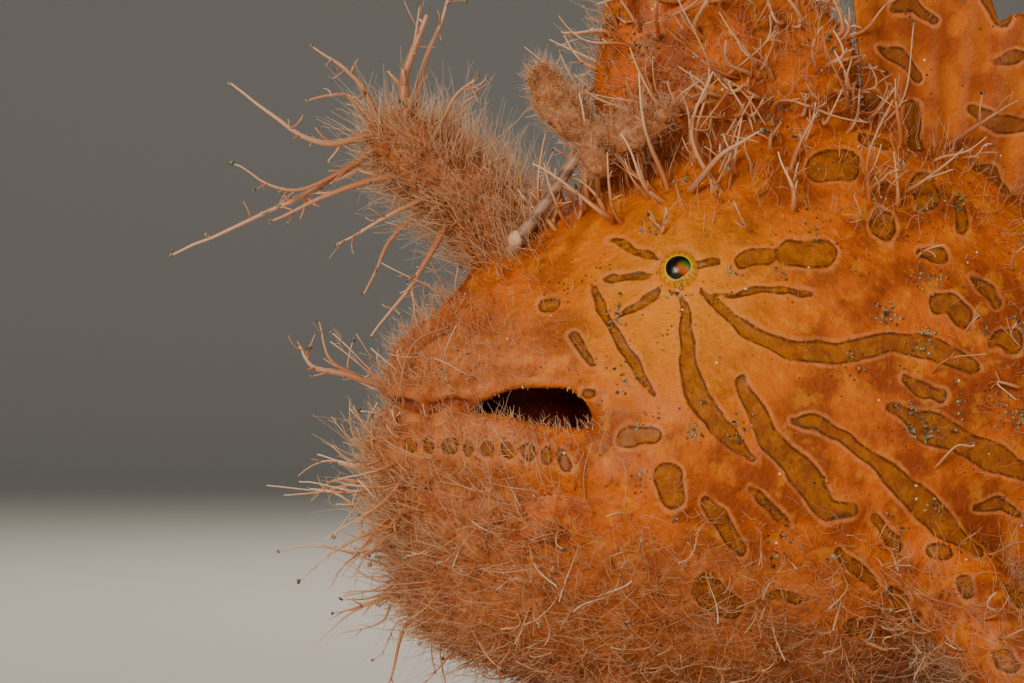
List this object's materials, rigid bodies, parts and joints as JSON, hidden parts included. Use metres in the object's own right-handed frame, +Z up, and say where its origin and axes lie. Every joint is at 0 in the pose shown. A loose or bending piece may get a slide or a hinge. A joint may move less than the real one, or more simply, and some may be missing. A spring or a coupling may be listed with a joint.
{
  "type": "frogfish",
  "caption": "Life-size hairy frogfish perched on its leg-like fins, mouth slightly open, with skin filaments, a branched second spine and a rod and lure on its head",
  "frame": {"origin": "centre of the underside of the bounding box, on the floor", "axes": "+Z up, +X from snout to tail, the fish's left side towards -Y"},
  "size_m": [0.1662, 0.0838, 0.105],
  "materials": {
    "flesh": "soft satin, warm orange skin",
    "pale_flesh": "soft satin, pinkish tan skin",
    "fin": "soft satin, orange fin web and rays",
    "lure": "matt, fuzzy tan lure",
    "rod": "satin, pale grey-pink banded rod",
    "eye": "glossy, golden iris round a dark pupil"
  },
  "bodies": {
    "root": {"head": "flesh", "lower_jaw": "pale_flesh", "trunk": "flesh", "tail_stalk": "flesh", "caudal_fin": "fin", "dorsal_fin": "fin", "anal_fin": "fin", "third_dorsal_spine": "flesh", "second_dorsal_spine": "pale_flesh", "illicium": "rod", "esca": "lure", "pectoral_arm_left": "flesh", "pectoral_arm_right": "flesh", "pectoral_fin_left": "fin", "pectoral_fin_right": "fin", "pelvic_fin_left": "fin", "pelvic_fin_right": "fin", "eye_left": "eye", "eye_right": "eye"}
  },
  "joints": []
}
